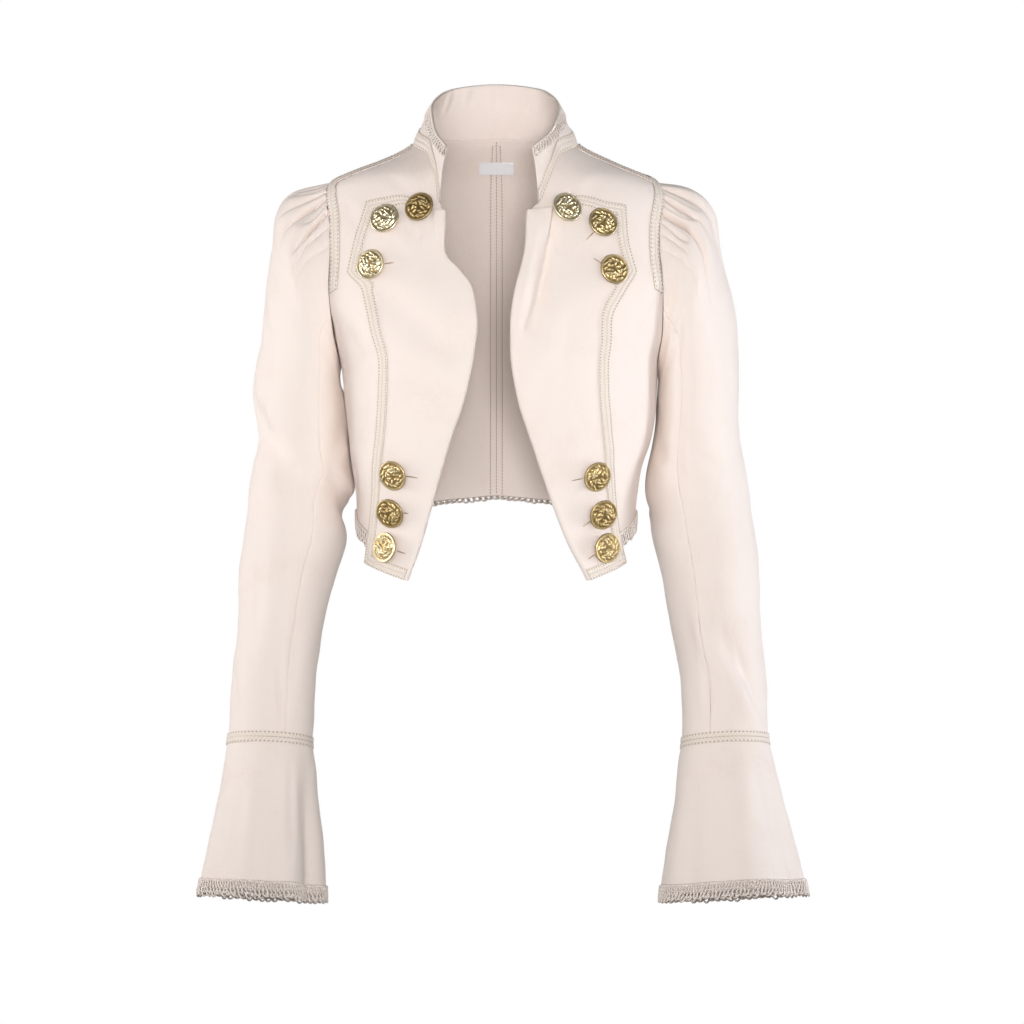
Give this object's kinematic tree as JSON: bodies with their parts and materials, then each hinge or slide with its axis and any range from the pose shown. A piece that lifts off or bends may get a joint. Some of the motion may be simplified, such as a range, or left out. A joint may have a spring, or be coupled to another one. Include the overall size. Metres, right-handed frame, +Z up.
{
  "type": "cropped military jacket",
  "caption": "Cropped ivory jacket worn open, with a stand collar, braided turned-back lapels, domed metal buttons, gathered sleeve heads and flared crochet-edged cuffs.",
  "frame": {"origin": "middle of the neck opening at the height where the shoulder seams meet the collar, where the wearer's neck and shoulders hold the jacket up", "axes": "+Z up along the wearer's height; -Y is the open front, so +Y is toward the back; +X is the wearer's left"},
  "size_m": [0.5953, 0.2347, 0.8252],
  "materials": {
    "ivory_cotton": "matt cotton twill",
    "ivory_braid": "plaited cotton braid",
    "ivory_crochet": "open crochet in cotton thread",
    "antique_brass": "antiqued and rubbed bright on the relief",
    "white_tape": "plain woven tape"
  },
  "bodies": {
    "root": {"collar": "ivory_cotton", "front_right": "ivory_cotton", "front_left": "ivory_cotton", "lapel_right": "ivory_cotton", "lapel_left": "ivory_cotton", "back_right": "ivory_cotton", "back_left": "ivory_cotton", "sleeve_top_right": "ivory_cotton", "sleeve_top_left": "ivory_cotton", "sleeve_under_right": "ivory_cotton", "sleeve_under_left": "ivory_cotton", "cuff_right": "ivory_cotton", "cuff_left": "ivory_cotton", "neck_braid": "ivory_braid", "lapel_braid_right": "ivory_braid", "lapel_braid_left": "ivory_braid", "shoulder_braid_right": "ivory_braid", "shoulder_braid_left": "ivory_braid", "armhole_braid_right": "ivory_braid", "armhole_braid_left": "ivory_braid", "wrist_braid_right": "ivory_braid", "wrist_braid_left": "ivory_braid", "collar_lace": "ivory_crochet", "hem_lace": "ivory_crochet", "cuff_lace_right": "ivory_crochet", "cuff_lace_left": "ivory_crochet", "button_right_1": "antique_brass", "button_right_2": "antique_brass", "button_right_3": "antique_brass", "button_right_4": "antique_brass", "button_right_5": "antique_brass", "button_right_6": "antique_brass", "button_left_1": "antique_brass", "button_left_2": "antique_brass", "button_left_3": "antique_brass", "button_left_4": "antique_brass", "button_left_5": "antique_brass", "button_left_6": "antique_brass", "label": "white_tape"}
  },
  "joints": []
}
